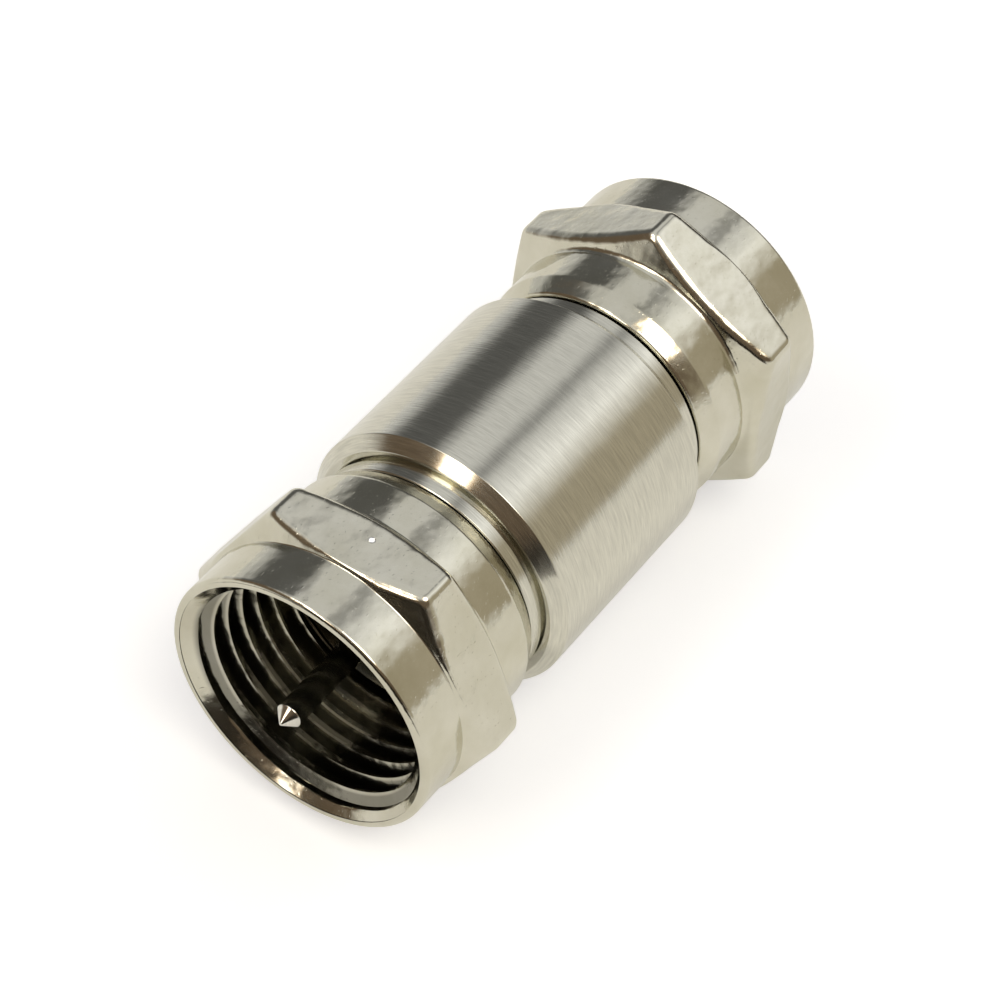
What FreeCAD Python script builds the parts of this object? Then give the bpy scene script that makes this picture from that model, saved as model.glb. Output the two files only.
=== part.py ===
import FreeCAD, Part
import math
import os

# Double-ended male F connector: a turned barrel with a free-spinning hex nut on each end.
# Units are millimetres. The axis of the connector is X and the origin is its midpoint.
# Places along X are given as distances from the midpoint, for the end at +X.
# Each end is turned to the same drawing. "left" is the end at -X and "right" the end at +X.

# Thread of an F connector, 3/8-32 UNEF: radius over the inner crests. The thread sets the
# size across the connector, and every other radius is a wall or a step away from it.
thread_minor_radius = 4.38

# Coupling nut
nut_reach = 5.05
nut_wall = 1.01
nut_mouth_chamfer = 0.70
nut_rim_chamfer = 0.15
nut_skirt_length = 2.15
nut_flat_above_skirt = 0.16
nut_hex_length = 2.25
nut_hex_chamfer_angle = 25.0
nut_hex_corner_round = 0.30
nut_collar_below_skirt = 0.28
nut_collar_root_chamfer = 0.30
nut_tail_length = 0.75
nut_tail_drop = 0.33
nut_lip_thickness = 1.15

# Turn of each nut about the axis at rest: a flat up on the left, a corner up on the right
nut_turn_left = 0.0
nut_turn_right = 30.0

# Running clearances of the nut
nut_back_clearance = 0.10
nut_flange_clearance = 0.10
nut_bore_clearance = 0.07

# Barrel
barrel_above_skirt = 0.06
barrel_half_length = 4.65
barrel_edge_chamfer = 0.45
barrel_web_half_length = 1.60

# Neck: the shoulder at each end of the barrel that the nut's back face runs against
neck_below_barrel = 0.73
neck_length = 0.70
neck_groove_width = 0.16
neck_groove_depth = 0.14

# Flanged post: pressed into the barrel, holds the nut and carries the ground face
post_flange_gap = 0.28
post_flange_height = 0.75
post_flange_thickness = 0.75
post_flange_chamfer = 0.12
post_wall = 0.75
post_front_lip_length = 0.30
post_front_lip_height = 0.25

# Centre contact and the two insulating beads that hold it
pin_radius = 0.50
pin_shank_step = 0.15
pin_shoulder_step = 0.25
pin_shoulder_half_length = 3.40
pin_cone_length = 0.45
pin_tip_radius = 0.06
pin_beyond_nut = 0.95
bead_back_length = 0.80

# Radii that follow from the sizes above
nut_skirt_radius = thread_minor_radius + nut_wall
nut_flat_radius = nut_skirt_radius + nut_flat_above_skirt
nut_corner_radius = nut_flat_radius / math.cos(math.pi / 6)
nut_collar_radius = nut_skirt_radius - nut_collar_below_skirt
nut_tail_radius = nut_collar_radius - nut_tail_drop
nut_mouth_radius = thread_minor_radius + nut_mouth_chamfer
barrel_radius = nut_skirt_radius + barrel_above_skirt
neck_radius = barrel_radius - neck_below_barrel
post_flange_radius = thread_minor_radius - post_flange_gap
post_radius = post_flange_radius - post_flange_height
post_bore_radius = post_radius - post_wall
post_front_lip_radius = post_bore_radius - post_front_lip_height
nut_lip_radius = post_radius + nut_bore_clearance
pin_shank_radius = pin_radius + pin_shank_step
pin_shoulder_radius = pin_shank_radius + pin_shoulder_step

# Places along X that follow from the sizes above
neck_end = barrel_half_length + neck_length
nut_back = neck_end + nut_back_clearance
lip_front = nut_back + nut_lip_thickness
flange_back = lip_front + nut_flange_clearance
flange_front = flange_back + post_flange_thickness
nut_front = flange_front + nut_reach
hex_front = nut_front - nut_skirt_length
hex_back = hex_front - nut_hex_length
tail_start = nut_back + nut_tail_length
bead_front = flange_front - post_front_lip_length
bead_back = pin_shoulder_half_length - bead_back_length
pin_tip = nut_front + pin_beyond_nut

X_AXIS = FreeCAD.Vector(1, 0, 0)
MIDPOINT = FreeCAD.Vector(0, 0, 0)


def corner_arc(before, corner, after, radius):
    """Ends and middle of the arc that rounds one corner of an outline."""
    to_before = (before - corner).normalize()
    to_after = (after - corner).normalize()
    half_angle = to_before.getAngle(to_after) / 2
    reach = radius / math.tan(half_angle)
    bisector = (to_before + to_after).normalize()
    centre = corner + bisector * (radius / math.sin(half_angle))
    start = corner + to_before * reach
    end = corner + to_after * reach
    middle = centre - bisector * radius
    return start, middle, end


def outline(points):
    """Closed wire through points (place, height, corner round), with each round as an arc."""
    places = [FreeCAD.Vector(point[0], 0, point[1]) for point in points]
    rounds = [point[2] if len(point) > 2 else 0 for point in points]
    edges = []
    joints = []
    for index, corner in enumerate(places):
        before = places[index - 1]
        after = places[(index + 1) % len(places)]
        if rounds[index] > 0:
            joints.append(corner_arc(before, corner, after, rounds[index]))
        else:
            joints.append((corner, None, corner))
    for index, (start, middle, end) in enumerate(joints):
        if middle is not None:
            edges.append(Part.Arc(start, middle, end).toShape())
        next_start = joints[(index + 1) % len(joints)][0]
        edges.append(Part.LineSegment(end, next_start).toShape())
    return Part.Wire(edges)


def turned(points):
    """Solid of revolution about the X axis, from an outline of places and radii."""
    return Part.Face(outline(points)).revolve(MIDPOINT, X_AXIS, 360)


def mirrored_ends(half_outline):
    """Outline of a piece that is the same at both ends, from its half at +X."""
    other_half = [(-point[0],) + tuple(point[1:]) for point in reversed(half_outline)]
    return half_outline + other_half


def at_left(shape):
    """The same piece at the other end of the connector."""
    return shape.mirror(MIDPOINT, X_AXIS)


def make_barrel():
    """Turned barrel with a chamfered end face, a relief groove and a neck at each end."""
    groove_radius = neck_radius - neck_groove_depth
    half = [
        (neck_end, post_radius),
        (neck_end, neck_radius),
        (barrel_half_length + neck_groove_width, neck_radius),
        (barrel_half_length + neck_groove_width, groove_radius),
        (barrel_half_length, groove_radius),
        (barrel_half_length, barrel_radius - barrel_edge_chamfer),
        (barrel_half_length - barrel_edge_chamfer, barrel_radius),
    ]
    solid = turned(mirrored_ends(half) + [(-neck_end, 0), (neck_end, 0)])
    web_bore = turned(mirrored_ends([(neck_end, 0), (neck_end, post_bore_radius)]))
    solid = solid.cut(web_bore)
    end_bore = turned([
        (barrel_web_half_length, 0),
        (neck_end, 0),
        (neck_end, post_radius),
        (barrel_web_half_length, post_radius),
    ])
    return solid.cut(end_bore).cut(at_left(end_bore))


def make_post():
    """Flanged post: shank in the barrel, flange in front of the nut's lip, bore for the bead."""
    return turned([
        (barrel_web_half_length, post_bore_radius),
        (barrel_web_half_length, post_radius),
        (flange_back, post_radius),
        (flange_back, post_flange_radius),
        (flange_front - post_flange_chamfer, post_flange_radius),
        (flange_front, post_flange_radius - post_flange_chamfer),
        (flange_front, post_front_lip_radius),
        (bead_front, post_front_lip_radius),
        (bead_front, post_bore_radius),
    ])


def make_hex_bar():
    """Long hexagonal bar along X with rounded corners, one pair of flats at top and bottom."""
    corners = []
    for step in range(6):
        angle = step * math.pi / 3
        corners.append((
            nut_corner_radius * math.cos(angle),
            nut_corner_radius * math.sin(angle),
            nut_hex_corner_round,
        ))
    face = Part.Face(outline(corners))
    # The outline is drawn in the XZ plane, so a quarter turn about Z puts it across the axis
    face.rotate(MIDPOINT, FreeCAD.Vector(0, 0, 1), 90)
    face.translate(FreeCAD.Vector(nut_back, 0, 0))
    return face.extrude(FreeCAD.Vector(nut_front - nut_back, 0, 0))


def make_nut(turn):
    """Coupling nut: round skirt, chamfered hex, collar with a tapered tail, lip behind the thread."""
    chamfer_angle = math.radians(nut_hex_chamfer_angle)
    slope = math.tan(chamfer_angle)
    corner_slope_length = (nut_corner_radius - nut_flat_radius) * slope
    root_place = hex_back - (nut_flat_radius - nut_collar_radius) * slope
    root_rise = nut_collar_root_chamfer * math.cos(chamfer_angle)
    body = turned([
        (nut_back, nut_lip_radius),
        (nut_back, nut_tail_radius),
        (tail_start, nut_collar_radius),
        (root_place - nut_collar_root_chamfer, nut_collar_radius),
        (root_place + root_rise * slope, nut_collar_radius + root_rise),
        (hex_back + corner_slope_length, nut_corner_radius),
        (hex_front - corner_slope_length, nut_corner_radius),
        (hex_front + nut_flat_above_skirt * slope, nut_skirt_radius),
        (nut_front - nut_rim_chamfer, nut_skirt_radius),
        (nut_front, nut_skirt_radius - nut_rim_chamfer),
        (nut_front, nut_mouth_radius),
        (nut_front - nut_mouth_chamfer, thread_minor_radius),
        (lip_front, thread_minor_radius),
        (lip_front, nut_lip_radius),
    ])
    nut = body.common(make_hex_bar())
    nut.rotate(MIDPOINT, X_AXIS, turn)
    return nut


def make_bead():
    """Insulating bead that fills the post's bore and centres the contact."""
    return turned([
        (bead_back, pin_shoulder_radius),
        (bead_back, post_bore_radius),
        (bead_front, post_bore_radius),
        (bead_front, pin_shank_radius),
        (pin_shoulder_half_length, pin_shank_radius),
        (pin_shoulder_half_length, pin_shoulder_radius),
    ])


def make_pin():
    """One contact through the whole connector, with a pointed pin at each end."""
    half = [
        (pin_tip, 0),
        (pin_tip, pin_tip_radius),
        (pin_tip - pin_cone_length, pin_radius),
        (bead_front, pin_radius),
        (bead_front, pin_shank_radius),
        (pin_shoulder_half_length, pin_shank_radius),
        (pin_shoulder_half_length, pin_shoulder_radius),
    ]
    return turned(mirrored_ends(half))


post_right = make_post()
bead_right = make_bead()

pieces = {
    "barrel": make_barrel(),
    "post_left": at_left(post_right),
    "post_right": post_right,
    "coupling_nut_left": at_left(make_nut(nut_turn_left)),
    "coupling_nut_right": make_nut(nut_turn_right),
    "insulator_left": at_left(bead_right),
    "insulator_right": bead_right,
    "centre_pin": make_pin(),
}

os.makedirs("parts", exist_ok=True)
for name, shape in pieces.items():
    shape.exportStep("parts/" + name + ".step")
    print(name, "solids", len(shape.Solids), "valid", shape.isValid(), "volume", round(shape.Volume, 3))
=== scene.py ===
import math

import bmesh
import bpy
import numpy as np
from bpy.props import FloatProperty, FloatVectorProperty, IntProperty, PointerProperty
from mathutils import Matrix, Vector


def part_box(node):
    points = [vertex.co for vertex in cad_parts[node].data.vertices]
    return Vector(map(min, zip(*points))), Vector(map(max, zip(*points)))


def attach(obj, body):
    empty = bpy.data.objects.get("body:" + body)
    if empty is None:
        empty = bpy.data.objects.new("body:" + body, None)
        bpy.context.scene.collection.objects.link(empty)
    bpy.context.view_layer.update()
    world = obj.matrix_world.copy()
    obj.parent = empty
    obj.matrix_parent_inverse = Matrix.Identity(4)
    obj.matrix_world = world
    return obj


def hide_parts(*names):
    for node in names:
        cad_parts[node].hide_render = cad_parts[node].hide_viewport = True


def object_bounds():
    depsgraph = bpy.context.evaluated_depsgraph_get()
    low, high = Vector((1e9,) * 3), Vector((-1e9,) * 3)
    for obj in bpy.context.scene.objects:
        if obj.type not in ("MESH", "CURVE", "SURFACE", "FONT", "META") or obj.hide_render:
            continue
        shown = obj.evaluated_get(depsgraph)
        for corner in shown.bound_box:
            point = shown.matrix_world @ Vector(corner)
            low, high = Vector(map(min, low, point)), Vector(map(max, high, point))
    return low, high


# Double-ended male F connector as it lies on a pale table: a satin barrel with a free-spinning
# hex coupling nut at each end, each nut with a real internal thread and the shared centre pin in it.
# Lengths are in metres. The axis of the connector is X, and "depth" is the distance from its middle.

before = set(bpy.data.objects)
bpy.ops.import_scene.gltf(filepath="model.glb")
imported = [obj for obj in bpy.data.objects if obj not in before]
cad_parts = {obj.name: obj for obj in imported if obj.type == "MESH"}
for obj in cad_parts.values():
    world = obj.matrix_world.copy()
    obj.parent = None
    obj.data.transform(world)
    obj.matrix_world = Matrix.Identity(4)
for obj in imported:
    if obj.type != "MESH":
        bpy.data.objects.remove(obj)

bl_info = {
    "name": "F connector coupler",
    "version": (1, 0, 0),
    "blender": (4, 5, 0),
    "location": "3D View > Sidebar > F Connector",
    "description": "Builds the finished surfaces of a double-ended male F connector",
    "category": "Mesh",
}

MM = 0.001
# Points nearer than this are welded, and edges sharper than this angle stay sharp in shading
WELD = 0.5e-6
CREASE = math.radians(28.0)
# How far from a round its neighbouring side is held flat, and the round of a fine edge
HOLD = 0.02 * MM
FINE = 0.02 * MM
# Steps over a ridge of the hex and across a flat, and the angle between them
RIDGE_STEPS = 9
FLAT_STEPS = 15
RIDGE_GUARD = math.radians(0.35)
# Rows of the thread in a pitch, and a flank's width and the thread's depth as shares of a pitch
ROWS_PER_PITCH = 16
FLANK_SHARE = 0.3125
THREAD_DEPTH_SHARE = 0.541
# The side of the middle on which each end lies
ENDS = {"left": -1, "right": 1}

nut_low, nut_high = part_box("coupling_nut_right")
barrel_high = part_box("barrel")[1]
post_low, post_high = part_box("post_right")
bead_low, bead_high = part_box("insulator_right")
pin_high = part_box("centre_pin")[1]
object_low, object_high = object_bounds()


def length(label, millimetres, about):
    """One length, given in millimetres and shown in the sidebar in the scene's length unit."""
    return FloatProperty(name=label, description=about, default=millimetres * MM, min=0.0,
                         unit="LENGTH", subtype="DISTANCE", precision=6)


def direction(label, default, about):
    """One direction of the camera."""
    return FloatVectorProperty(name=label, description=about, default=default, size=3,
                               subtype="DIRECTION")


def tint(label, default, about):
    """One colour of a finish."""
    return FloatVectorProperty(name=label, description=about, default=default, size=3,
                               subtype="COLOR", min=0.0, max=1.0)


def amount(label, default, about, top=1.0):
    """One plain number, such as a roughness or a light's strength."""
    return FloatProperty(name=label, description=about, default=default, min=0.0, max=top)


class CouplingNutSizes(bpy.types.PropertyGroup):
    """Sizes of the two coupling nuts."""
    across_flats: length("Across flats", 11.10, "Width of the hex between two opposite flats")
    hex_corner_round: length("Hex corner round", 0.40, "Round along each ridge of the hex")
    hex_chamfer_angle: FloatProperty(name="Hex chamfer angle", min=0.0, default=math.radians(25.0),
                                     description="Slope of the hex's chamfers from a flat end",
                                     subtype="ANGLE")
    hex_edge_round: length("Hex edge round", 0.50, "Widest round where a flat meets a chamfer")
    skirt_length: length("Skirt length", 2.15, "Round part in front of the hex")
    skirt_radius: length("Skirt radius", 5.39, "Radius of the round part in front of the hex")
    skirt_root_round: length("Skirt root round", 0.08, "Hollow where the skirt meets the hex")
    rim_round: length("Rim round", 0.17, "Round of the outer edge of the rim")
    hex_length: length("Hex length", 2.25, "Length of the hex between its two faces")
    collar_radius: length("Collar radius", 5.11, "Radius of the round part behind the hex")
    collar_root_round: length("Collar root round", 0.25, "Hollow between collar and hex")
    tail_length: length("Tail length", 0.75, "Tapered stretch at the back of the collar")
    tail_drop: length("Tail drop", 0.33, "How much the tail narrows in radius")
    tail_round: length("Tail round", 0.30, "Round where the tail starts")
    back_edge_round: length("Back edge round", 0.18, "Round of the nut's back edge")
    lip_thickness: length("Lip thickness", 1.15, "Thickness of the lip that turns on the post")
    lip_radius: length("Lip radius", 3.42, "Radius of the hole in the lip")
    lip_chamfer: length("Lip chamfer", 0.15, "Chamfer at the back of the lip's hole")
    mouth_chamfer: length("Mouth chamfer", 0.70, "Lead-in at the mouth of the thread")
    mouth_step: length("Mouth step", 0.04, "Small straight step between rim and lead-in")
    thread_radius: length("Thread radius", 4.38, "Radius over the inner crests of the thread")
    thread_pitch: length("Thread pitch", 25.4 / 32, "Distance from one thread to the next")
    crest_share: amount("Crest share", 0.125, "Part of the pitch that the flat inner crest takes up")
    thread_runout: length("Thread run-out", 0.60, "Stretch in which the thread fades at the bottom")


class BarrelSizes(bpy.types.PropertyGroup):
    """Sizes of the barrel and its necks."""
    half_length: length("Half length", 4.65, "From the middle to the barrel's end face")
    edge_chamfer: length("Edge chamfer", 0.45, "Chamfer at each end of the barrel")
    edge_round: length("Edge round", 0.05, "Small round where the tool left each edge")
    neck_radius: length("Neck radius", 4.72, "Radius of the neck that the nut runs against")
    neck_edge_chamfer: length("Neck edge chamfer", 0.04, "Chamfer at the end of the neck")
    groove_width: length("Groove width", 0.16, "Relief groove beside the barrel's end face")
    groove_depth: length("Groove depth", 0.14, "Depth of the relief groove")
    web_half_length: length("Web half length", 1.60, "Half of the solid web in the middle")


class ContactSizes(bpy.types.PropertyGroup):
    """Sizes of the posts, the insulating beads and the centre pin."""
    post_radius: length("Post radius", 3.35, "Radius of the post's shank")
    flange_thickness: length("Flange thickness", 0.75, "Thickness of the post's flange")
    flange_chamfer: length("Flange chamfer", 0.12, "Chamfer at both edges of the flange")
    front_lip_length: length("Front lip length", 0.30, "Lip that holds the bead in the post")
    front_lip_height: length("Front lip height", 0.25, "How far that lip reaches inwards")
    pin_radius: length("Pin radius", 0.50, "Radius of the free pin")
    pin_shank_radius: length("Pin shank radius", 0.65, "Radius of the pin inside the bead")
    pin_shoulder_depth: length("Pin shoulder depth", 3.40, "Place of the pin's shoulder")
    pin_cone_length: length("Pin cone length", 0.45, "Length of the pin's point")
    pin_tip_radius: length("Pin tip radius", 0.06, "Small flat at the very tip")


class Finishes(bpy.types.PropertyGroup):
    """Colours and gloss of the connector's surfaces."""
    barrel_colour: tint("Barrel", (0.655, 0.64, 0.56), "Satin nickel of the barrel")
    nut_colour: tint("Nuts", (0.675, 0.66, 0.585), "Bright nickel of the coupling nuts")
    post_colour: tint("Posts", (0.60, 0.58, 0.51), "Nickel of the posts")
    pin_colour: tint("Pin", (0.74, 0.72, 0.66), "Bright nickel of the pin")
    bead_colour: tint("Beads", (0.78, 0.76, 0.70), "Insulating plastic")
    barrel_roughness: amount("Barrel roughness", 0.15, "Blur of reflections in the barrel")
    nut_roughness: amount("Nut roughness", 0.13, "Blur of reflections in the nuts")
    post_roughness: amount("Post roughness", 0.25, "Blur of reflections in the posts")
    pin_roughness: amount("Pin roughness", 0.12, "Blur of reflections in the pin")
    # Painted shade: the share of the nickel's colour left deep in the bores
    painted_bore_shade: amount("Bore shade", 0.40, "What is left of the plating's brightness in the bores")


class StudioSettings(bpy.types.PropertyGroup):
    """Camera, light and floor."""
    floor_half_size: length("Floor half size", 900.0, "Half of the side of the square floor")
    floor_colour: tint("Floor", (0.86, 0.865, 0.845), "Pale table")
    floor_glow: tint("Floor glow", (0.37, 0.37, 0.405), "White that the table has in the picture")
    mirrored_glow: amount("Mirrored glow", 0.25, "Share of that white that the metal mirrors")
    camera_place: FloatVectorProperty(name="Camera place", description="Where the camera stands",
                                      default=(-68.4 * MM, -40.1 * MM, 88.2 * MM), size=3,
                                      unit="LENGTH", subtype="TRANSLATION", precision=5)
    camera_forward: direction("Camera direction", (0.5736, 0.3385, -0.7461),
                              "Where the camera looks")
    camera_down: direction("Camera down", (-0.5898, -0.4616, -0.6629), "Down side of the picture")
    lens: FloatProperty(name="Lens", description="Focal length in mm on a 36 mm wide picture",
                        default=118.76, min=1.0)
    world_strength: amount("Surroundings", 1.0, "Strength of the room's light", 10.0)
    ceiling_light: amount("Ceiling light", 0.75, "Brightness of the ceiling light in the room", 10.0)
    card_distance: length("Card distance", 60.0, "From the connector's middle to the dark card")
    card_half_arc: FloatProperty(name="Card half arc", description="Half of the card's arc, in degrees",
                                 default=55.0, min=1.0, max=90.0)
    card_height: length("Card height", 32.0, "Height of the dark card")
    card_foot: length("Card foot", 16.0, "Width of the card's strip on the floor")
    card_shift: length("Card shift", 20.0, "How far the card stands off towards the camera's side")
    turned_columns: IntProperty(name="Turned columns", description="Steps round turned pieces",
                                default=160, min=24)
    pin_columns: IntProperty(name="Pin columns", description="Steps round the pin",
                             default=64, min=12)


# Surfaces

def unit(vectors):
    """Vectors divided by their own lengths."""
    return vectors / np.linalg.norm(vectors, axis=-1, keepdims=True)


def corner_arc(before, corner, after, radius, steps):
    """Arc that rounds a corner of an outline: the circle of the given radius that touches both
    sides, from its touching point on the first side to that on the second. The corner may be one
    point or one for each column, and the arc's points come as a new first axis."""
    before, corner, after = np.broadcast_arrays(before, corner, after)
    to_before = unit(before - corner)
    to_after = unit(after - corner)
    cosine = np.sum(to_before * to_after, axis=-1, keepdims=True)
    half_angle = np.arccos(np.clip(cosine, -1.0, 1.0)) / 2
    centre = corner + unit(to_before + to_after) * (radius / np.sin(half_angle))
    start = corner + to_before * (radius / np.tan(half_angle)) - centre
    end = corner + to_after * (radius / np.tan(half_angle)) - centre
    sweep = np.pi - 2 * half_angle
    steps_along = np.linspace(0.0, 1.0, steps + 1).reshape((-1,) + (1,) * corner.ndim)
    blend_start = np.sin((1 - steps_along) * sweep) / np.sin(sweep)
    blend_end = np.sin(steps_along * sweep) / np.sin(sweep)
    return centre + start * blend_start + end * blend_end


def rounded_outline(corners, hold=0.0):
    """Outline through corners (depth, radius, round, steps), with each round as an arc. A depth or
    radius may be one number or one for each column. Where hold is given, each long side gets a
    point that far from its arcs, so that it stays flat in shading."""
    places = [np.stack(np.broadcast_arrays(np.atleast_1d(corner[0]), np.atleast_1d(corner[1])), -1)
              for corner in corners]
    runs = []
    for index, corner in enumerate(corners):
        if len(corner) < 3:
            runs.append(places[index][np.newaxis])
            continue
        before = places[index - 1]
        after = places[index + 1]
        arc = corner_arc(before, places[index], after, corner[2], corner[3])
        if hold:
            first = arc[:1] + unit(before - arc[:1]) * hold
            last = arc[-1:] + unit(after - arc[-1:]) * hold
            arc = np.concatenate([first, arc, last])
        runs.append(arc)
    columns = max(run.shape[1] for run in runs)
    return np.concatenate([np.broadcast_to(run, (run.shape[0], columns, 2)) for run in runs])


def turned_grid(outline, angles, side):
    """Outline turned about the X axis: depth becomes x on the given side, and radius swings through
    the angles, so y is radius times cosine and z is radius times sine."""
    depth = np.broadcast_to(outline[..., 0], (outline.shape[0], angles.size))
    radius = np.broadcast_to(outline[..., 1], (outline.shape[0], angles.size))
    return np.stack([depth * side, radius * np.cos(angles), radius * np.sin(angles)], axis=-1)


def grid_faces(rows, columns, first):
    """Corner numbers of the quads between neighbouring rows and columns of a grid."""
    number = first + np.arange(rows * columns).reshape(rows, columns)
    return np.stack([number[:-1, :-1], number[:-1, 1:], number[1:, 1:], number[1:, :-1]],
                    axis=-1).reshape(-1, 4)


def mirrored(half):
    """Outline corners of a piece's other half, at minus the depth and in the other order."""
    return [(-corner[0],) + tuple(corner[1:]) for corner in reversed(half)]


def add_object(name, data):
    """Object of a mesh or a camera, in the scene."""
    piece = bpy.data.objects.new(name, data)
    bpy.context.scene.collection.objects.link(piece)
    return piece


def make_skin(name, grids):
    """Mesh from one or more grids of points: quads between neighbours, then points that fall
    together are welded, flat slivers go, and the faces are turned outwards."""
    points = np.concatenate([grid.reshape(-1, 3) for grid in grids])
    faces = []
    first = 0
    for grid in grids:
        faces.append(grid_faces(grid.shape[0], grid.shape[1], first))
        first += grid.shape[0] * grid.shape[1]
    quads = np.concatenate(faces)
    diagonal_a = points[quads[:, 2]] - points[quads[:, 0]]
    diagonal_b = points[quads[:, 3]] - points[quads[:, 1]]
    area = np.linalg.norm(np.cross(diagonal_a, diagonal_b), axis=1)
    quads = quads[area > WELD * WELD]
    mesh = bpy.data.meshes.new(name)
    mesh.vertices.add(len(points))
    mesh.vertices.foreach_set("co", points.ravel())
    mesh.loops.add(quads.size)
    mesh.loops.foreach_set("vertex_index", quads.ravel())
    mesh.polygons.add(len(quads))
    mesh.polygons.foreach_set("loop_start", np.arange(0, quads.size, 4))
    mesh.update(calc_edges=True)
    work = bmesh.new()
    work.from_mesh(mesh)
    bmesh.ops.remove_doubles(work, verts=work.verts, dist=WELD)
    bmesh.ops.dissolve_degenerate(work, edges=work.edges, dist=WELD)
    loose = [vert for vert in work.verts if not vert.link_faces]
    bmesh.ops.delete(work, geom=loose, context="VERTS")
    bmesh.ops.recalc_face_normals(work, faces=work.faces)
    work.to_mesh(mesh)
    work.free()
    mesh.polygons.foreach_set("use_smooth", np.ones(len(mesh.polygons), dtype=bool))
    mesh.set_sharp_from_angle(angle=CREASE)
    mesh.update()
    return add_object(name, mesh)


def make_turned(name, outline, columns, side=1):
    """Skin of an outline turned all the way round, with its last column on top of the first."""
    return make_skin(name, [turned_grid(outline, np.linspace(0.0, 2 * np.pi, columns + 1), side)])


def hex_angles(sizes, turn):
    """Angles of a full turn for a hex: a few close steps over each rounded ridge, one close to it
    on each side, and even steps across each flat."""
    spread = ridge_half_angle(sizes)
    edge = spread + RIDGE_GUARD
    ridge = np.linspace(-spread, spread, RIDGE_STEPS)
    flat = np.linspace(edge, math.pi / 3 - edge, FLAT_STEPS)
    sector = np.concatenate([ridge, flat])
    starts = np.arange(6)[:, np.newaxis] * math.pi / 3
    whole = (starts + sector).ravel()
    return np.append(whole, whole[0] + 2 * np.pi) + turn


def ridge_half_angle(sizes):
    """Half of the angle, seen from the axis, that a rounded ridge of the hex takes up."""
    centre = (sizes.across_flats / 2 - sizes.hex_corner_round) / math.cos(math.pi / 6)
    across = sizes.hex_corner_round * math.sin(math.pi / 6)
    along = centre + sizes.hex_corner_round * math.cos(math.pi / 6)
    return math.atan2(across, along)


def hex_radius(sizes, angles, turn):
    """Distance from the axis to the hex at each angle: over a flat, half the width divided by the
    cosine of the angle from the flat's middle; over a ridge, the ray's far crossing with the
    circle that rounds it. A ridge lies at the angle of turn."""
    from_ridge = np.abs((angles - turn + math.pi / 6) % (math.pi / 3) - math.pi / 6)
    flat = sizes.across_flats / 2 / np.cos(math.pi / 6 - from_ridge)
    centre = (sizes.across_flats / 2 - sizes.hex_corner_round) / math.cos(math.pi / 6)
    inside = np.maximum(sizes.hex_corner_round ** 2 - (centre * np.sin(from_ridge)) ** 2, 0.0)
    ridge = centre * np.cos(from_ridge) + np.sqrt(inside)
    return np.where(from_ridge < ridge_half_angle(sizes), ridge, flat)


def edge_round(sizes, height, hollow):
    """Round of the hex's edge at each angle: the wanted one, or the largest that fits on a chamfer of
    that height beside the hollow at its foot, with room for the points that hold the chamfer flat.
    Each takes up its radius times the tangent of half of the turn, along the slope."""
    half_turn = math.tan((math.pi / 2 - sizes.hex_chamfer_angle) / 2)
    slope = height / math.cos(sizes.hex_chamfer_angle) - 2.5 * HOLD
    return np.minimum(sizes.hex_edge_round, slope / half_turn - hollow)[:, np.newaxis]


def nut_outline(sizes, reach, lip_front, back, front):
    """Outline of a nut at every angle, from the inner edge of its rim over skirt, hex, collar and
    tail to the lip's hole and the bottom of the thread. The hex's chamfers are cones, so a flat
    starts and ends where its height meets them, and its ends are arcs."""
    slope = math.tan(sizes.hex_chamfer_angle)
    flat = sizes.across_flats / 2
    skirt = sizes.skirt_radius
    collar = sizes.collar_radius
    hex_front = front - sizes.skirt_length
    hex_back = hex_front - sizes.hex_length
    root = sizes.skirt_root_round
    hollow = sizes.collar_root_round
    front_round = edge_round(sizes, reach - skirt, root)
    back_round = edge_round(sizes, reach - collar, hollow)
    mouth = sizes.thread_radius + sizes.mouth_chamfer
    return rounded_outline([
        (front - sizes.mouth_step, mouth),
        (front, mouth),
        (front, skirt, sizes.rim_round, 6),
        (hex_front + (flat - skirt) * slope, skirt, root, 4),
        (hex_front - (reach - flat) * slope, reach, front_round, 7),
        (hex_back + (reach - flat) * slope, reach, back_round, 7),
        (hex_back - (flat - collar) * slope, collar, hollow, 8),
        (back + sizes.tail_length, collar, sizes.tail_round, 5),
        (back, collar - sizes.tail_drop, sizes.back_edge_round, 5),
        (back, sizes.lip_radius + sizes.lip_chamfer),
        (back + sizes.lip_chamfer, sizes.lip_radius),
        (lip_front, sizes.lip_radius),
        (lip_front, sizes.thread_radius),
    ], hold=HOLD)


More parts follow.
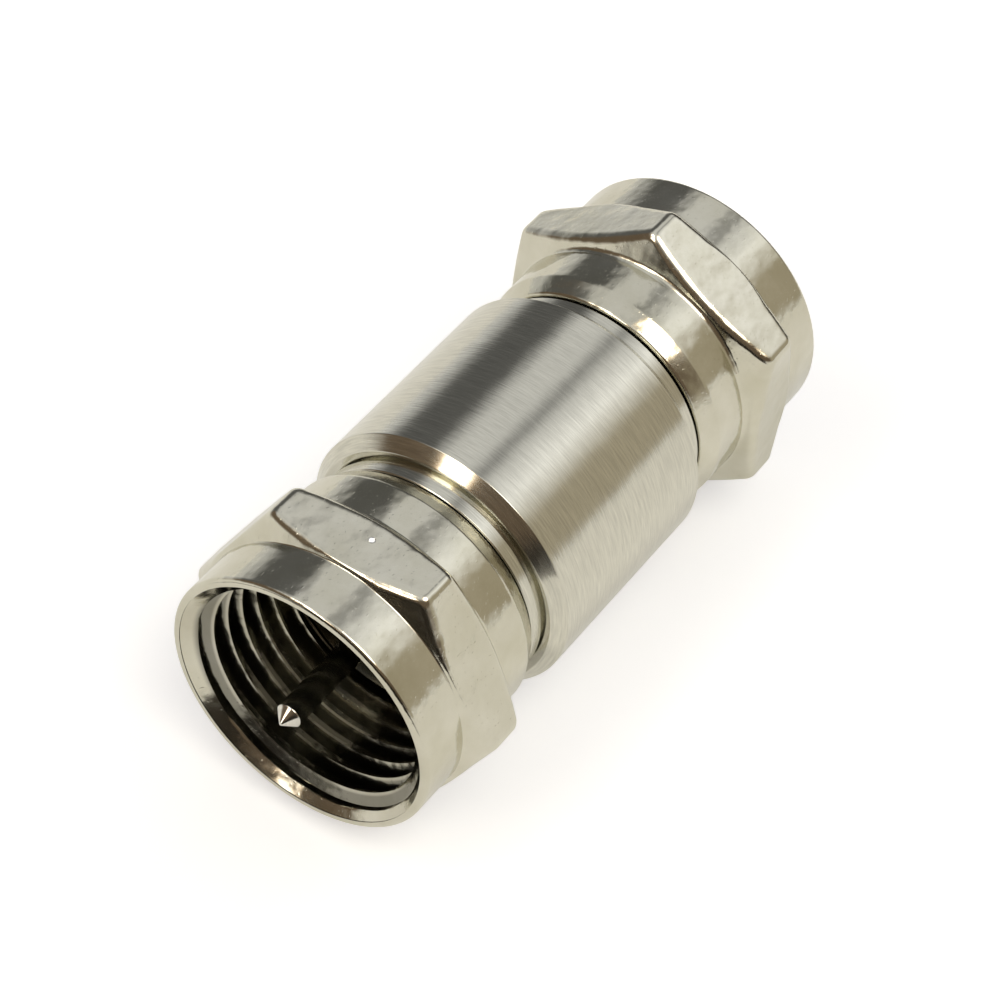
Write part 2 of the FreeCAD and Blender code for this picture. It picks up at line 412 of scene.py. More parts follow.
def thread_grid(sizes, angles, lip_front, front, side):
    """Wall of the threaded hole. Rows follow the right-handed helix, so depth grows by one pitch in
    each turn, and are held between the lip and the rim. Radius is the crest radius plus the 60
    degree thread form, faded out at the bottom, or the lead-in cone where that is wider."""
    pitch = sizes.thread_pitch
    crest = sizes.thread_radius
    mouth = crest + sizes.mouth_chamfer
    rows = int(math.ceil((front - lip_front) / pitch) + 2) * ROWS_PER_PITCH
    turns = np.arange(rows + 1) / ROWS_PER_PITCH
    row_depth = lip_front + (turns - 1.0) * pitch
    helix = side * pitch * angles / (2 * np.pi)
    offset = np.floor(helix.min() / pitch) * pitch
    depth = row_depth[:, np.newaxis] + helix - offset - (pitch if side > 0 else 0.0)
    phase = (turns % 1.0)[:, np.newaxis]
    rise = np.minimum(phase - sizes.crest_share, 1.0 - phase) / FLANK_SHARE
    form = np.clip(rise, 0.0, 1.0)
    full_depth = THREAD_DEPTH_SHARE * pitch
    fade = np.clip((depth - lip_front) / sizes.thread_runout, 0.0, 1.0)
    fade = fade * fade * (3 - 2 * fade)
    cone = mouth - (front - depth)
    depth = np.clip(depth, lip_front, front)
    radius = np.maximum(crest + full_depth * form * fade, cone)
    radius = np.where(depth >= front, mouth, radius)
    radius = np.where(depth <= lip_front, crest, radius)
    return turned_grid(np.stack([depth, radius], axis=-1), angles, side)


def make_coupling_nut(sizes, end, turn):
    """Coupling nut with its chamfered hex outside and its thread inside, as one closed skin."""
    side = ENDS[end]
    back = nut_low[0]
    front = nut_high[0]
    lip_front = back + sizes.lip_thickness
    angles = hex_angles(sizes, turn)
    reach = hex_radius(sizes, angles, turn)
    outside = turned_grid(nut_outline(sizes, reach, lip_front, back, front), angles, side)
    inside = thread_grid(sizes, angles, lip_front, front - sizes.mouth_step, side)
    return make_skin("nut_skin_" + end, [outside, inside])


def make_barrel(sizes, contact, columns):
    """Barrel turned from its outline: chamfered ends, relief grooves, necks and the bores in it."""
    edge = sizes.edge_round
    neck_end = barrel_high[0]
    radius = barrel_high[2]
    neck = sizes.neck_radius
    face = sizes.half_length
    groove_end = face + sizes.groove_width
    groove = neck - sizes.groove_depth
    half = [
        (neck_end, contact.post_radius),
        (neck_end, neck - sizes.neck_edge_chamfer, FINE, 2),
        (neck_end - sizes.neck_edge_chamfer, neck, FINE, 2),
        (groove_end, neck, FINE, 2),
        (groove_end, groove),
        (face, groove),
        (face, radius - sizes.edge_chamfer, edge, 4),
        (face - sizes.edge_chamfer, radius, edge, 4),
    ]
    web = sizes.web_half_length
    bore = [
        (-web, contact.post_radius),
        (-web, bead_high[2]),
        (web, bead_high[2]),
        (web, contact.post_radius),
    ]
    outline = rounded_outline(half + mirrored(half) + bore + half[:1], hold=HOLD)
    return make_turned("barrel_skin", outline, columns)


def make_post(sizes, end, columns):
    """Flanged post turned from its outline, with the small lip that holds the bead."""
    fine = 1.5 * FINE
    front = post_high[0]
    back = front - sizes.flange_thickness
    rim = post_high[2]
    chamfer = sizes.flange_chamfer
    bore = bead_high[2]
    lip_back = front - sizes.front_lip_length
    lip = bore - sizes.front_lip_height
    outline = rounded_outline([
        (post_low[0], bore),
        (post_low[0], sizes.post_radius),
        (back, sizes.post_radius),
        (back, rim - chamfer, fine, 2),
        (back + chamfer, rim, fine, 2),
        (front - chamfer, rim, fine, 2),
        (front, rim - chamfer, fine, 2),
        (front, lip, fine, 2),
        (lip_back, lip),
        (lip_back, bore),
        (post_low[0], bore),
    ], hold=fine / 2)
    return make_turned("post_skin_" + end, outline, columns, ENDS[end])


def make_bead(sizes, end, columns):
    """Insulating bead turned from its outline, with a hole that steps where the pin does."""
    outline = rounded_outline([
        (bead_low[0], pin_high[2]),
        (bead_low[0], bead_high[2]),
        (bead_high[0], bead_high[2]),
        (bead_high[0], sizes.pin_shank_radius, 2 * FINE, 3),
        (sizes.pin_shoulder_depth, sizes.pin_shank_radius),
        (sizes.pin_shoulder_depth, pin_high[2]),
        (bead_low[0], pin_high[2]),
    ], hold=HOLD / 2)
    return make_turned("bead_skin_" + end, outline, columns, ENDS[end])


def make_pin(sizes, columns):
    """Centre pin turned from its outline, pointed at both ends."""
    tip = pin_high[0]
    half = [
        (tip, 0.0),
        (tip, sizes.pin_tip_radius, FINE, 3),
        (tip - sizes.pin_cone_length, sizes.pin_radius, 4 * FINE, 4),
        (bead_high[0], sizes.pin_radius),
        (bead_high[0], sizes.pin_shank_radius),
        (sizes.pin_shoulder_depth, sizes.pin_shank_radius),
        (sizes.pin_shoulder_depth, pin_high[2]),
    ]
    outline = rounded_outline(half + mirrored(half), hold=HOLD / 2)
    return make_turned("pin_skin", outline, columns)


# Finishes

PER_MM = 1 / MM
# Turned pieces: how quickly the tool lines change round the piece, how the dashes are stretched from
# them, how wide the bands are, and how strongly the dashes show
ROUND_CHANGE = 160.0
DASH_STRETCH = (0.85, 7.0, 7.0)
BAND_SCALE = 0.12
DASH_CONTRAST = 2.2
# Plating: the scales of its grain and patches, and where the grain rises to a speck
GRAIN_SCALE = 9000.0
PATCH_SCALE = 420.0
SPECK_FROM, SPECK_TO = 0.72, 0.82
# Thread: from where to where above the crest the painted shade grows to full, and the share of the
# painted shade left on the crest, which keeps the crests lighter
CREST_LIGHT_FROM, CREST_LIGHT_TO = 0.04 * MM, 0.14 * MM
CREST_SHADE_SHARE = 0.35


def feed(tree, sockets, values):
    """Gives inputs, by name or number, another socket's link or a plain value."""
    for key, value in values.items():
        if isinstance(value, bpy.types.NodeSocket):
            tree.links.new(value, sockets[key])
        else:
            sockets[key].default_value = value


def add_node(tree, kind, inputs=None, **settings):
    """Node of the given kind, with its settings and what its inputs get, by name or number."""
    node = tree.nodes.new(kind)
    for key, value in settings.items():
        setattr(node, key, value)
    feed(tree, node.inputs, inputs or {})
    return node


def worked_out(tree, operation, *values):
    """Number that a math node gives for sockets or plain numbers."""
    return add_node(tree, "ShaderNodeMath", dict(enumerate(values)), operation=operation).outputs[0]


def vector_step(tree, operation, *values):
    """Vector and Value that a vector node gives for sockets or plain vectors."""
    return add_node(tree, "ShaderNodeVectorMath", dict(enumerate(values)), operation=operation).outputs


def object_place(tree):
    """Place on the piece, in the piece's own coordinates."""
    return add_node(tree, "ShaderNodeTexCoord").outputs["Object"]


def split_up(tree, vector):
    """The X, Y and Z of a vector."""
    return add_node(tree, "ShaderNodeSeparateXYZ", {0: vector}).outputs


def noise(tree, place, scale, detail, roughness=0.5):
    """Noise of 0 to 1 over a place."""
    inputs = {"Vector": place, "Scale": scale, "Detail": detail, "Roughness": roughness}
    return add_node(tree, "ShaderNodeTexNoise", inputs).outputs["Fac"]


def smooth_step(tree, value, low, high, least=0.0):
    """Smooth rise from the least to 1 while the value goes from low to high."""
    inputs = {"Value": value, "From Min": low, "From Max": high, "To Min": least}
    node = add_node(tree, "ShaderNodeMapRange", inputs, interpolation_type="SMOOTHSTEP")
    return node.outputs["Result"]


def spread(tree, value, low, high):
    """A value of 0 to 1 spread from low to high."""
    inputs = {"Value": value, "To Min": low, "To Max": high}
    return add_node(tree, "ShaderNodeMapRange", inputs).outputs["Result"]


def mix_colours(tree, factor, first, second):
    """Mix of two colours, each a socket or a plain colour."""
    first, second = (colour + (1.0,) if isinstance(colour, tuple) else colour
                     for colour in (first, second))
    inputs = {"Factor": factor, "A": first, "B": second}
    return add_node(tree, "ShaderNodeMix", inputs, data_type="RGBA").outputs["Result"]


def shade_between(tree, mask, colour, darker, lighter):
    """Colour that wanders between a darker and a lighter shade of itself, by a mask. Each shade is one
    share of the colour, or one for each of its three parts."""
    shades = [tuple(np.minimum(np.multiply(colour, share), 1.0).tolist())
              for share in (darker, lighter)]
    return mix_colours(tree, mask, *shades)


def raised(tree, *layers):
    """Bumps over one another, each a height and its distance in metres."""
    below = {}
    for height, distance in layers:
        inputs = {"Strength": 1.0, "Distance": distance, "Height": height} | below
        below = {"Normal": add_node(tree, "ShaderNodeBump", inputs).outputs["Normal"]}
    return below["Normal"]


def new_group(name, inputs, outputs):
    """Node group with numbers of the given names: the group, what it is given and what it results in."""
    group = bpy.data.node_groups.new(name, "ShaderNodeTree")
    for in_out, sockets in (("INPUT", inputs), ("OUTPUT", outputs)):
        for socket in sockets:
            group.interface.new_socket(socket, in_out=in_out, socket_type="NodeSocketFloat")
    given = add_node(group, "NodeGroupInput").outputs
    result = add_node(group, "NodeGroupOutput").inputs
    return group, given, result


def turning_lines_group():
    """Fine lines that a cutting tool leaves round a turned piece: noise that changes quickly along
    the axis and slowly round it, as a height, the same noise in short dashes, and a broad band."""
    outputs = ["Height", "Dashes", "Band"]
    group, given, result = new_group("Turning lines", ["Lines per millimetre"], outputs)
    along = worked_out(group, "MULTIPLY", given["Lines per millimetre"], PER_MM)
    stretch = add_node(group, "ShaderNodeCombineXYZ", {"X": along, "Y": ROUND_CHANGE, "Z": ROUND_CHANGE})
    place = vector_step(group, "MULTIPLY", object_place(group), stretch.outputs[0])["Vector"]
    dashes = vector_step(group, "MULTIPLY", place, DASH_STRETCH)["Vector"]
    feed(group, result, {
        "Height": noise(group, place, 1.0, 3.0, 0.65),
        "Dashes": noise(group, dashes, 1.0, 2.0),
        "Band": noise(group, place, BAND_SCALE, 2.0),
    })
    return group


def plating_group():
    """Slight unevenness of plated metal: soft waves a millimetre or so apart, a finer grain, a
    patchy mask for handling marks, and a few small raised specks."""
    outputs = ["Waves", "Grain", "Patches", "Specks"]
    group, given, result = new_group("Plating", ["Waves per millimetre"], outputs)
    place = object_place(group)
    scale = worked_out(group, "MULTIPLY", given["Waves per millimetre"], PER_MM)
    flecks = noise(group, place, GRAIN_SCALE, 0.0)
    feed(group, result, {
        "Waves": noise(group, place, scale, 2.0, 0.45),
        "Grain": noise(group, place, GRAIN_SCALE, 2.0),
        "Patches": noise(group, place, PATCH_SCALE, 5.0, 0.6),
        "Specks": smooth_step(group, flecks, SPECK_FROM, SPECK_TO),
    })
    return group


def bore_painted_shade_group():
    """Painted shade inside a bore, from 0 at its mouth to 1 further in, on whatever lies nearer to the
    axis than the given radius and in front of the bore's end. What stands in to the crest radius gets
    less of it, so the crests read lighter than the roots."""
    inputs = ["Radius", "Crest radius", "Starts at", "Full at", "Ends at"]
    group, given, result = new_group("Bore dulling", inputs, ["Painted shade"])
    place = object_place(group)
    depth = worked_out(group, "ABSOLUTE", split_up(group, place)["X"])
    across = vector_step(group, "MULTIPLY", place, (0.0, 1.0, 1.0))["Vector"]
    radius = vector_step(group, "LENGTH", across)["Value"]
    above_crest = worked_out(group, "SUBTRACT", radius, given["Crest radius"])
    inside = worked_out(group, "LESS_THAN", radius, given["Radius"])
    in_front = worked_out(group, "GREATER_THAN", depth, given["Ends at"])
    further_in = smooth_step(group, depth, given["Starts at"], given["Full at"])
    off_crest = smooth_step(group, above_crest, CREST_LIGHT_FROM, CREST_LIGHT_TO, CREST_SHADE_SHARE)
    # Painted shade: darker further into the bore and most in the thread's roots, less on its crests
    dulling = inside
    for share in (in_front, further_in, off_crest):
        dulling = worked_out(group, "MULTIPLY", dulling, share)
    feed(group, result, {"Painted shade": dulling})
    return group


SHARED_EFFECTS = {
    "Turning lines": turning_lines_group,
    "Plating": plating_group,
    "Bore dulling": bore_painted_shade_group,
}


def effect(tree, name, inputs):
    """What a shared effect gives for its inputs. Its node group is built the first time."""
    group = bpy.data.node_groups.get(name) or SHARED_EFFECTS[name]()
    return add_node(tree, "ShaderNodeGroup", inputs, node_tree=group).outputs


def with_painted_bore_shade(tree, colour, bore, shade):
    """Colour with painted shade inside a bore, darkening down to a share of itself. The bore is what its
    node group takes: radii, and depths from the connector's middle."""
    # Painted shade: the colour is scaled down towards the shade's share
    share = spread(tree, effect(tree, "Bore dulling", bore)["Painted shade"], 1.0, shade)
    inputs = {0: colour, "Scale": share}
    return add_node(tree, "ShaderNodeVectorMath", inputs, operation="SCALE").outputs[0]


def new_finish(name):
    """Empty material, with the tree and the Principled shader's inputs to fill in."""
    material = bpy.data.materials.new(name)
    material.use_nodes = True
    tree = material.node_tree
    return material, tree, tree.nodes["Principled BSDF"].inputs


def turned_metal(name, colour, roughness, lines_per_mm, line_height, wave_height, bore=None, shade=1.0):
    """Nickel plate over turned brass: tool lines round the axis and soft waves, with painted shade down
    to a share of its colour inside a bore where one is given."""
    material, tree, shader = new_finish(name)
    lines = effect(tree, "Turning lines", {"Lines per millimetre": lines_per_mm})
    streaks = worked_out(tree, "MULTIPLY_ADD", lines["Dashes"], DASH_CONTRAST,
                         (1 - DASH_CONTRAST) / 2)
    tone = shade_between(tree, streaks, colour, 0.85, 1.10)
    if bore is not None:
        # Painted shade inside the bore, where one is given
        tone = with_painted_bore_shade(tree, tone, bore, shade)
    waves = effect(tree, "Plating", {"Waves per millimetre": 0.55})["Waves"]
    feed(tree, shader, {
        "Base Color": tone,
        "Metallic": 1.0,
        "Roughness": spread(tree, lines["Band"], roughness * 0.7, roughness * 1.3),
        "Normal": raised(tree, (waves, wave_height), (lines["Dashes"], line_height),
                         (lines["Height"], line_height)),
    })
    return material


def nick_wall(tree, place, radius):
    """One small nick: its mask, which the finish also uses to lighten the colour there as a painted
    highlight, and the height of a slanting wall across it, from -1 to 1.
    """
    from_nick = vector_step(tree, "SUBTRACT", object_place(tree), place)["Vector"]
    away = vector_step(tree, "LENGTH", from_nick)["Value"]
    mask = smooth_step(tree, away, radius, radius * 0.7)
    across = worked_out(tree, "MULTIPLY", split_up(tree, from_nick)["Y"], 1 / radius)
    return mask, worked_out(tree, "MULTIPLY", across, mask)


def polished_metal(name, colour, roughness, wave_height, speck_height, bore, shade, nick):
    """Nickel plate over a formed and tumbled nut: soft uneven waves with a few specks, painted shade
    inside its bore, and one small nick of a given place, radius and depth, its dent a real bump and its
    lighter colour a painted highlight."""
    material, tree, shader = new_finish(name)
    marks = effect(tree, "Plating", {"Waves per millimetre": 0.9})
    nick_highlight_mask, nick_height = nick_wall(tree, nick["place"], nick["radius"])
    tone = shade_between(tree, marks["Patches"], colour, (0.72, 0.70, 0.58), (1.18, 1.18, 1.20))
    # Painted highlight: the nick's colour is lightened towards white; its dent is a real bump
    tone = mix_colours(tree, nick_highlight_mask, tone, (0.98, 0.97, 0.94))
    feed(tree, shader, {
        # Painted shade inside the nut's bore
        "Base Color": with_painted_bore_shade(tree, tone, bore, shade),
        "Metallic": 1.0,
        "Roughness": spread(tree, marks["Patches"], roughness * 0.6, roughness * 1.5),
        "Normal": raised(tree, (marks["Waves"], wave_height), (marks["Grain"], speck_height * 0.4),
                         (marks["Specks"], speck_height), (nick_height, nick["depth"])),
    })
    return material


def moulded_plastic(name, colour):
    """Natural insulating plastic with a faint mottle and a soft sheen."""
    material, tree, shader = new_finish(name)
    marks = effect(tree, "Plating", {"Waves per millimetre": 1.5})
    feed(tree, shader, {
        "Subsurface Weight": 0.15,
        "Subsurface Radius": (0.3 * MM, 0.3 * MM, 0.25 * MM),
        "Subsurface Scale": 1.0,
        "Base Color": shade_between(tree, marks["Patches"], colour, 0.94, 1.04),
        "Roughness": spread(tree, marks["Patches"], 0.40, 0.55),
        "Normal": raised(tree, (marks["Waves"], 0.01 * MM)),
    })
    return material


def dress(piece, material, body, node):
    """Gives a piece its finish and its body, and hides the solid that it stands for."""
    piece.data.materials.clear()
    piece.data.materials.append(material)
    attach(piece, body)
    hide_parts(node)


class FCONNECTOR_OT_barrel(bpy.types.Operator):
    """Builds the satin barrel with its necks"""
    bl_idname = "fconnector.barrel"
    bl_label = "Barrel"

    def execute(self, context):
        scene = context.scene
        looks = scene.f_finishes
        piece = make_barrel(scene.f_barrel, scene.f_contact, scene.f_studio.turned_columns)
        material = turned_metal("satin nickel barrel", looks.barrel_colour, looks.barrel_roughness,
                                lines_per_mm=22.0, line_height=0.003 * MM, wave_height=0.02 * MM)
        dress(piece, material, "connector", "barrel")
        return {"FINISHED"}


class FCONNECTOR_OT_coupling_nuts(bpy.types.Operator):
    """Builds the two coupling nuts, each at the turn that it lies in"""
    bl_idname = "fconnector.coupling_nuts"
    bl_label = "Coupling nuts"

    def execute(self, context):
        scene = context.scene
        looks = scene.f_finishes
        mouth = nut_high[0]
        bottom = nut_low[0] + scene.f_nut.lip_thickness
        crest = scene.f_nut.thread_radius
        # Painted shade in the nut's bore, full in the thread's roots and lighter on its crests
        bore = {"Radius": crest + 0.6 * MM, "Crest radius": crest, "Starts at": mouth - 0.30 * MM,
                "Full at": mouth - 0.50 * MM, "Ends at": bottom - 0.1 * MM}
        # The nick is a small real dent on the left nut's upper flat, lightened in colour as a painted
        # highlight
        nick = {"place": (-8.94 * MM, -0.26 * MM, scene.f_nut.across_flats / 2),
                "radius": 0.14 * MM, "depth": 0.075 * MM}
        material = polished_metal("bright nickel nut", looks.nut_colour, looks.nut_roughness,
                                  wave_height=0.05 * MM, speck_height=0.002 * MM, bore=bore,
                                  shade=looks.painted_bore_shade, nick=nick)
        # On the left a ridge points at +Y, so a flat is up; on the right a ridge is up
        for end, turn in (("left", 0.0), ("right", math.pi / 6)):
            piece = make_coupling_nut(scene.f_nut, end, turn)
            dress(piece, material, "nut_" + end, "coupling_nut_" + end)
        return {"FINISHED"}


class FCONNECTOR_OT_posts(bpy.types.Operator):
    """Builds the flanged posts at the bottom of the nuts"""
    bl_idname = "fconnector.posts"
    bl_label = "Posts"

    def execute(self, context):
        scene = context.scene
        looks = scene.f_finishes
        # Painted shade on the posts, deep in the nuts' bores
        bore = {"Radius": post_high[2] + 1.0 * MM, "Crest radius": 0.0, "Starts at": nut_high[0],
                "Full at": post_high[0], "Ends at": 0.0}
        material = turned_metal("nickel post", looks.post_colour, looks.post_roughness,
                                lines_per_mm=14.0, line_height=0.004 * MM, wave_height=0.01 * MM,
                                bore=bore, shade=looks.painted_bore_shade)
        for end in ENDS:
            piece = make_post(scene.f_contact, end, scene.f_studio.turned_columns)
            dress(piece, material, "connector", "post_" + end)
        return {"FINISHED"}


class FCONNECTOR_OT_beads(bpy.types.Operator):
    """Builds the insulating beads that hold the pin"""
    bl_idname = "fconnector.beads"
    bl_label = "Insulating beads"

    def execute(self, context):
        scene = context.scene
        material = moulded_plastic("natural insulator", scene.f_finishes.bead_colour)
        for end in ENDS:
            piece = make_bead(scene.f_contact, end, scene.f_studio.turned_columns)
            dress(piece, material, "connector", "insulator_" + end)
        return {"FINISHED"}


class FCONNECTOR_OT_centre_pin(bpy.types.Operator):
    """Builds the centre pin, pointed at both ends"""
    bl_idname = "fconnector.centre_pin"
    bl_label = "Centre pin"

    def execute(self, context):
        scene = context.scene
        looks = scene.f_finishes
        piece = make_pin(scene.f_contact, scene.f_studio.pin_columns)
        mouth = nut_high[0]
        # Painted shade on the pin's shank inside the nuts
        bore = {"Radius": pin_high[2] + 1.0 * MM, "Crest radius": 0.0,
                "Starts at": mouth + 0.3 * MM, "Full at": mouth - 0.3 * MM, "Ends at": 0.0}
        material = turned_metal("bright nickel pin", looks.pin_colour, looks.pin_roughness,
                                lines_per_mm=18.0, line_height=0.0005 * MM, wave_height=0.003 * MM,
                                bore=bore, shade=looks.painted_bore_shade)
        dress(piece, material, "connector", "centre_pin")
        return {"FINISHED"}


# Stage

# Plain lights that the scene's room is made of
PALE_FLOOR = (0.9, 0.9, 0.9)
FAR_WALL = (0.7, 0.7, 0.7)
DARK_GAP = (0.12, 0.12, 0.12)
OVERHEAD = (0.75, 0.75, 0.75)
OVERHEAD_GAP = (0.3, 0.3, 0.3)
SOFT_LAMP = (1.2, 1.2, 1.2)
WARM_WALL = (0.45, 0.4, 0.3)
FAR_END = (0.08, 0.075, 0.07)
BACK_WALL_FOOT = (0.75, 0.72, 0.66)
BACK_WALL = (0.15, 0.11, 0.075)

# What the connector's long surfaces mirror: the scene's room by its angle round the connector's axis,
# in degrees from straight up towards the side that the camera stands on, and the light there
ROOM_ROUND_AXIS = (
    (-180, PALE_FLOOR),
    (-100, FAR_WALL),
    (-85, FAR_WALL),
    (-70, DARK_GAP),
    (-40, DARK_GAP),
    (-27, OVERHEAD),
    (-6, OVERHEAD),
    (3, OVERHEAD_GAP),
    (12, OVERHEAD),
    (32, SOFT_LAMP),
    (55, WARM_WALL),
    (85, WARM_WALL),
    (92, PALE_FLOOR),
    (180, PALE_FLOOR),
)

# Where the parts of the room meet: along the axis (X) or upwards (Z), in a direction of length 1
FAR_END_X = (0.80, 0.95)
AHEAD_X = (-0.22, 0.08)
OFF_FLOOR_Z = (0.0, 0.22)
CEILING_Z = (0.60, 0.85)

# Lamps of the room: the direction that each is seen in, then its warm shade and the white lamp in it,
# each with its half width in degrees and its light, which is full over the core's share of that width
ROOM_LAMPS = (
    ((-0.50, 0.33, 0.80), (13.0, (1.5, 0.90, 0.40)), (11.0, (4.2, 4.1, 3.7))),
    ((-0.77, 0.22, 0.60), (13.0, (1.5, 0.90, 0.40)), (10.0, (5.0, 4.9, 4.5))),
    ((-0.25, -0.45, 0.86), (21.0, (1.3, 0.85, 0.42)), (18.0, (4.6, 4.5, 4.1))),
)
LAMP_CORE = 0.7

# Dark card: its colour, its steps along the arc, its height off the floor, and the share of its half
# width over which it is full
CARD_COLOUR = (0.035, 0.026, 0.018, 1.0)
CARD_COLUMNS = 33
CARD_LIFT = 0.1 * MM
CARD_FULL_SHARE = 0.6

SENSOR_WIDTH = 36.0


def add_stage_piece(name, points, faces, material):
    """Piece of the stage from points and faces, with its material."""
    mesh = bpy.data.meshes.new(name)
    mesh.from_pydata(points.tolist(), [], faces)
    mesh.materials.append(material)
    piece = add_object(name, mesh)
    return piece


def make_floor(settings):
    """Flat square of floor under the lowest point of the connector."""
    half = settings.floor_half_size
    corners = np.array([(-half, -half), (half, -half), (half, half), (-half, half)])
    points = np.column_stack([corners, np.full(4, object_low[2])])
    material, tree, shader = new_finish("pale table")
    rays = add_node(tree, "ShaderNodeLightPath").outputs
    inputs = {0: rays["Is Glossy Ray"], 1: settings.mirrored_glow, 2: rays["Is Camera Ray"]}
    seen = add_node(tree, "ShaderNodeMath", inputs, operation="MULTIPLY_ADD", use_clamp=True)
    glow = mix_colours(tree, seen.outputs[0], (0.0, 0.0, 0.0), tuple(settings.floor_glow))
    feed(tree, shader, {
        "Base Color": tuple(settings.floor_colour) + (1.0,),
        "Roughness": 0.8,
        "Specular IOR Level": 0.1,
        "Emission Color": glow,
        "Emission Strength": 1.0,
    })
    add_stage_piece("floor", points, [(0, 1, 2, 3)], material)


def make_dark_card(settings):
    """Dark card bent round the camera's end of the connector, just outside the picture: points on an
    arc of the given distance, raised from a strip on the floor to the card's height. It shows only
    in reflections, makes the near nut's chamfers and thread read dark, and thins out towards its
    top and its two ends."""
    half_arc = math.radians(settings.card_half_arc)
    distance = settings.card_distance
    foot = object_low[2] + CARD_LIFT
    top = object_low[2] + settings.card_height
    angles = np.linspace(-half_arc, half_arc, CARD_COLUMNS)
    distances = np.array([distance - settings.card_foot, distance, distance])[:, np.newaxis]
    x = -distances * np.cos(angles)
    y = distances * np.sin(angles) - settings.card_shift
    z = np.broadcast_to(np.array([foot, foot, top])[:, np.newaxis], x.shape)
    points = np.stack([x, y, z], axis=-1).reshape(-1, 3)
    faces = grid_faces(3, CARD_COLUMNS, 0).tolist()
    material, tree, shader = new_finish("dark card")
    part = split_up(tree, object_place(tree))
    aside = worked_out(tree, "ABSOLUTE", worked_out(tree, "ADD", part["Y"], settings.card_shift))
    reach = distance * math.sin(half_arc)
    towards_ends = smooth_step(tree, aside, reach, reach * CARD_FULL_SHARE)
    towards_top = smooth_step(tree, part["Z"], top, (foot + top) / 2)
    feed(tree, shader, {
        "Base Color": CARD_COLOUR,
        "Roughness": 0.9,
        "Alpha": worked_out(tree, "MULTIPLY", towards_ends, towards_top),
    })
    card = add_stage_piece("dark_card", points, faces, material)
    card.visible_camera = False
    card.visible_diffuse = False
    card.visible_shadow = False


def angle_ramp(tree, angle, stops):
    """Ramp from an angle in radians, -pi to pi, to the light of the stops."""
    inputs = {"Value": angle, "From Min": -math.pi, "From Max": math.pi}
    turn = add_node(tree, "ShaderNodeMapRange", inputs).outputs["Result"]
    ramp = add_node(tree, "ShaderNodeValToRGB", {"Fac": turn})
    elements = ramp.color_ramp.elements
    for index, (degrees, light) in enumerate(stops):
        place_on_ramp = (degrees + 180) / 360
        stop = elements[index] if index < 2 else elements.new(place_on_ramp)
        stop.position = place_on_ramp
        stop.color = light + (1.0,)
    return ramp.outputs["Color"]


def lamp_light(tree, direction, aim, half_width, light, below):
    """A round soft lamp of the room, over the light below it: full at its aim, and fading over the
    outer part of its half width."""
    towards = vector_step(tree, "DOT_PRODUCT", direction, unit(np.array(aim)).tolist())["Value"]
    edge = math.cos(math.radians(half_width))
    core = math.cos(math.radians(half_width * LAMP_CORE))
    return mix_colours(tree, smooth_step(tree, towards, edge, core), below, light)


def make_room(scene, settings):
    """World light of a room. Directions ahead of the camera take the ramp round the axis, and dim
    towards the far end. Behind, at the near end of the connector, a wall darkens upwards from the
    floor to a brighter ceiling, and three soft lamps hang there."""
    world = bpy.data.worlds.new("room")
    world.use_nodes = True
    scene.world = world
    tree = world.node_tree
    direction = add_node(tree, "ShaderNodeTexCoord").outputs["Generated"]
    part = split_up(tree, direction)
    towards_camera = worked_out(tree, "MULTIPLY", part["Y"], -1.0)
    angle = worked_out(tree, "ARCTAN2", towards_camera, part["Z"])
    sides = angle_ramp(tree, angle, ROOM_ROUND_AXIS)
    ahead = mix_colours(tree, smooth_step(tree, part["X"], *FAR_END_X), sides, FAR_END)
    off_floor = smooth_step(tree, part["Z"], *OFF_FLOOR_Z)
    wall = mix_colours(tree, off_floor, BACK_WALL_FOOT, BACK_WALL)
    ceiling = (settings.ceiling_light,) * 3
    behind = mix_colours(tree, smooth_step(tree, part["Z"], *CEILING_Z), wall, ceiling)
    light = mix_colours(tree, smooth_step(tree, part["X"], *AHEAD_X), behind, ahead)
    for aim, *rings in ROOM_LAMPS:
        for half_width, ring in rings:
            light = lamp_light(tree, direction, aim, half_width, ring, light)
    background = {"Color": light, "Strength": settings.world_strength}
    feed(tree, tree.nodes["Background"].inputs, background)


def make_camera(scene, settings):
    """Camera at the photograph's viewing angle, from its direction and the picture's down side."""
    forward = unit(np.array(settings.camera_forward))
    down = np.array(settings.camera_down)
    down = unit(down - forward * np.dot(down, forward))
    right = np.cross(down, forward)
    data = bpy.data.cameras.new("camera")
    data.lens = settings.lens
    data.sensor_width = SENSOR_WIDTH
    data.clip_start = 1 * MM
    camera = add_object("camera", data)
    turn = np.eye(4)
    turn[:3] = np.column_stack([right, -down, -forward, settings.camera_place])
    camera.matrix_world = Matrix(turn.tolist())
    scene.camera = camera


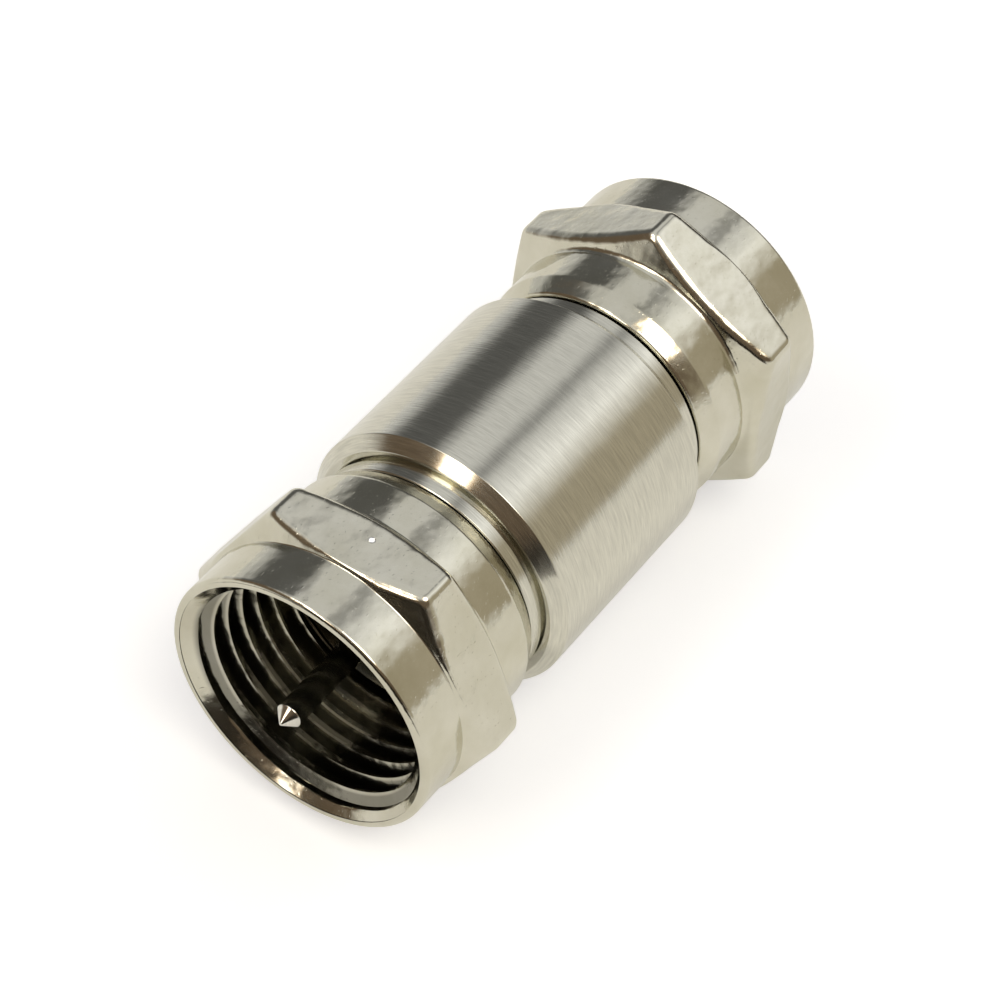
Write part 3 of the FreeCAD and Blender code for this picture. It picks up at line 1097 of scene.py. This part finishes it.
class FCONNECTOR_OT_stage(bpy.types.Operator):
    """Builds the pale floor, the dark card, the room's light and the camera"""
    bl_idname = "fconnector.stage"
    bl_label = "Stage"

    def execute(self, context):
        scene = context.scene
        settings = scene.f_studio
        make_floor(settings)
        make_dark_card(settings)
        make_room(scene, settings)
        make_camera(scene, settings)
        scene.view_settings.view_transform = "Standard"
        return {"FINISHED"}


class FCONNECTOR_PT_panel(bpy.types.Panel):
    """Sizes, finishes and builders of the connector"""
    bl_label = "F Connector"
    bl_idname = "FCONNECTOR_PT_panel"
    bl_space_type = "VIEW_3D"
    bl_region_type = "UI"
    bl_category = "F Connector"

    def draw(self, context):
        layout = self.layout
        for operator in OPERATORS:
            layout.operator(operator.bl_idname)
        for group_name, group in GROUPS.items():
            box = layout.box()
            box.label(text=group.__doc__)
            for value in group.__annotations__:
                box.prop(getattr(context.scene, group_name), value)


OPERATORS = (
    FCONNECTOR_OT_barrel,
    FCONNECTOR_OT_coupling_nuts,
    FCONNECTOR_OT_posts,
    FCONNECTOR_OT_beads,
    FCONNECTOR_OT_centre_pin,
    FCONNECTOR_OT_stage,
)

GROUPS = {
    "f_nut": CouplingNutSizes,
    "f_barrel": BarrelSizes,
    "f_contact": ContactSizes,
    "f_finishes": Finishes,
    "f_studio": StudioSettings,
}


def register():
    for group_name, group in GROUPS.items():
        bpy.utils.register_class(group)
        setattr(bpy.types.Scene, group_name, PointerProperty(type=group))
    for operator in OPERATORS:
        bpy.utils.register_class(operator)
    bpy.utils.register_class(FCONNECTOR_PT_panel)


def unregister():
    bpy.utils.unregister_class(FCONNECTOR_PT_panel)
    for operator in reversed(OPERATORS):
        bpy.utils.unregister_class(operator)
    for group_name, group in GROUPS.items():
        delattr(bpy.types.Scene, group_name)
        bpy.utils.unregister_class(group)


def main():
    """Registers the classes, and builds every piece and the stage."""
    register()
    bpy.ops.fconnector.barrel()
    bpy.ops.fconnector.coupling_nuts()
    bpy.ops.fconnector.posts()
    bpy.ops.fconnector.beads()
    bpy.ops.fconnector.centre_pin()
    bpy.ops.fconnector.stage()


if __name__ == "__main__":
    main()
